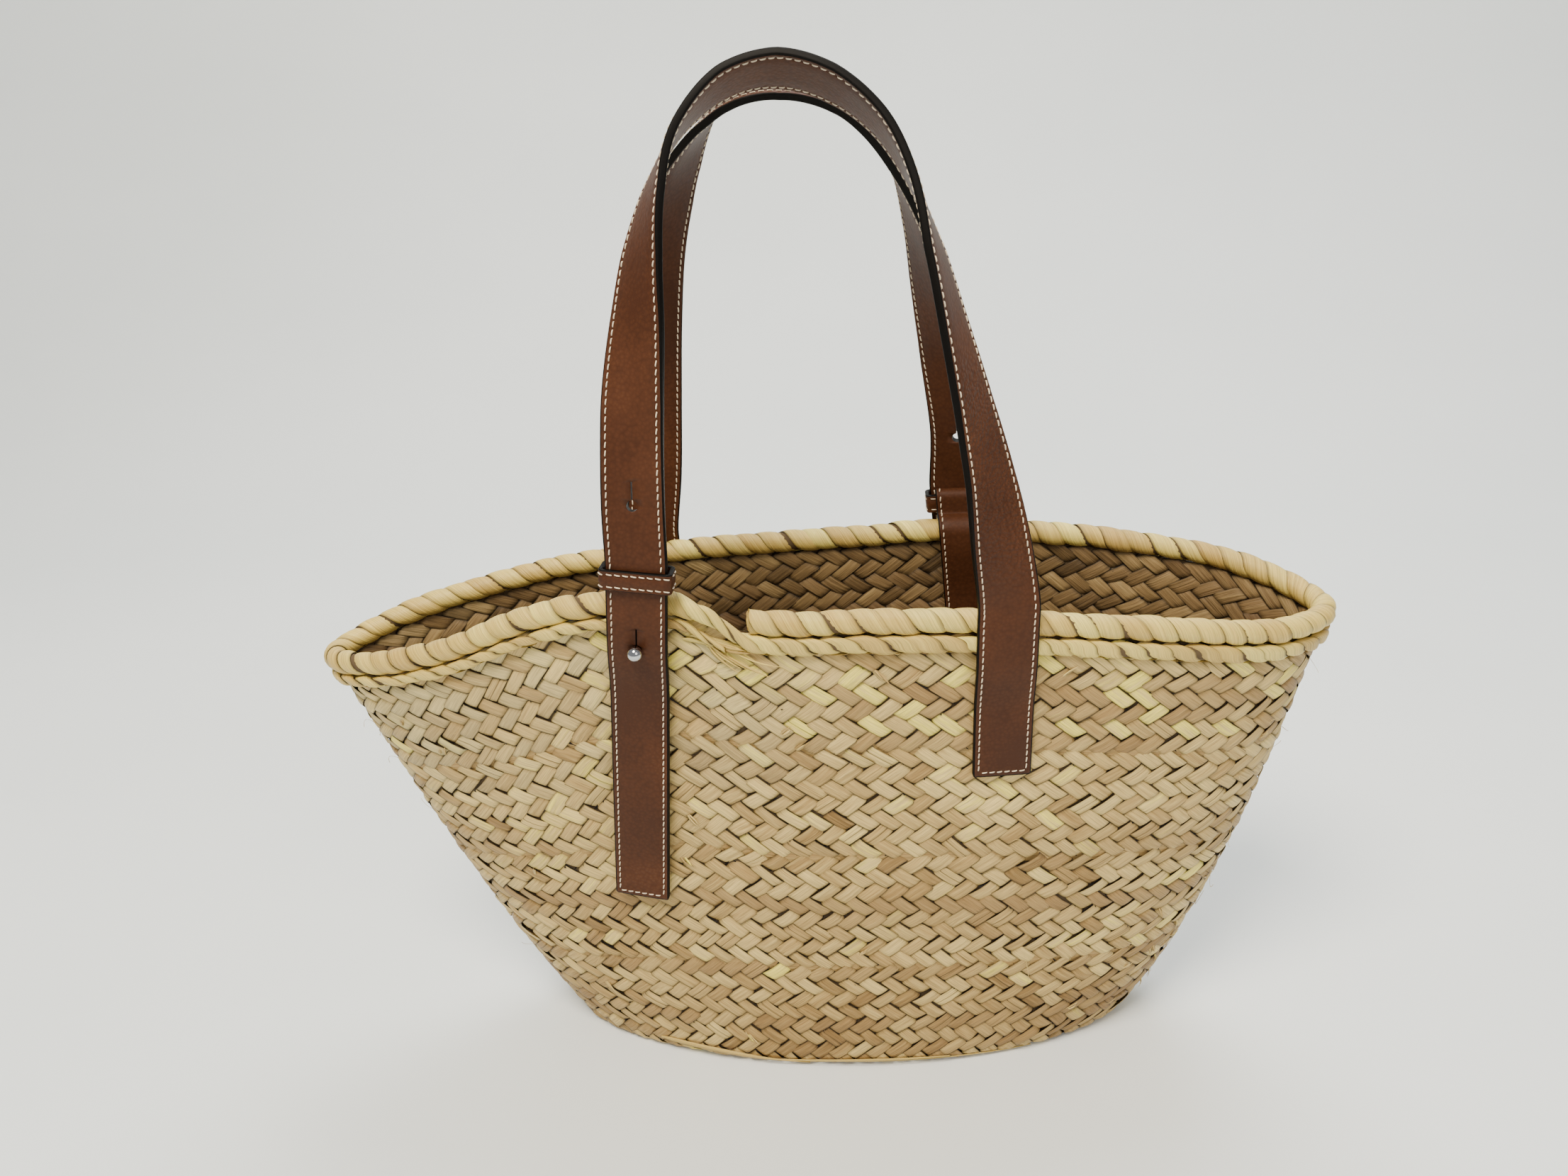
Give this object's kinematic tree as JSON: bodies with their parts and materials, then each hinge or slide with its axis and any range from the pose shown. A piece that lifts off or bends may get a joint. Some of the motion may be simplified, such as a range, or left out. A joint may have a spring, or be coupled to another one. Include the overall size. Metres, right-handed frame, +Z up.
{
  "type": "basket bag",
  "caption": "Plaited straw basket bag with a flat oval base, flared walls, a wrapped binding round its oval mouth and flat leather carrying straps closed by ball studs.",
  "frame": {"origin": "centre of the flat oval base, on its underside", "axes": "+Z up towards the mouth, +X along the bag's length to the right as its front is seen, -Y out of its front"},
  "size_m": [0.4568, 0.1307, 0.4563],
  "materials": {
    "straw_wall": "matt plaited palm leaf",
    "straw_binding": "satin wrapped palm leaf",
    "leather": "satin grained leather",
    "chrome_stud": "polished"
  },
  "bodies": {
    "root": {"basket_body": "straw_wall", "rim_binding": "straw_binding", "handle_front": "leather", "handle_back": "leather", "tab_front": "leather", "tab_back": "leather", "keeper_loop_front": "leather", "keeper_loop_back": "leather", "stud_front": "chrome_stud", "stud_back": "chrome_stud"}
  },
  "joints": []
}
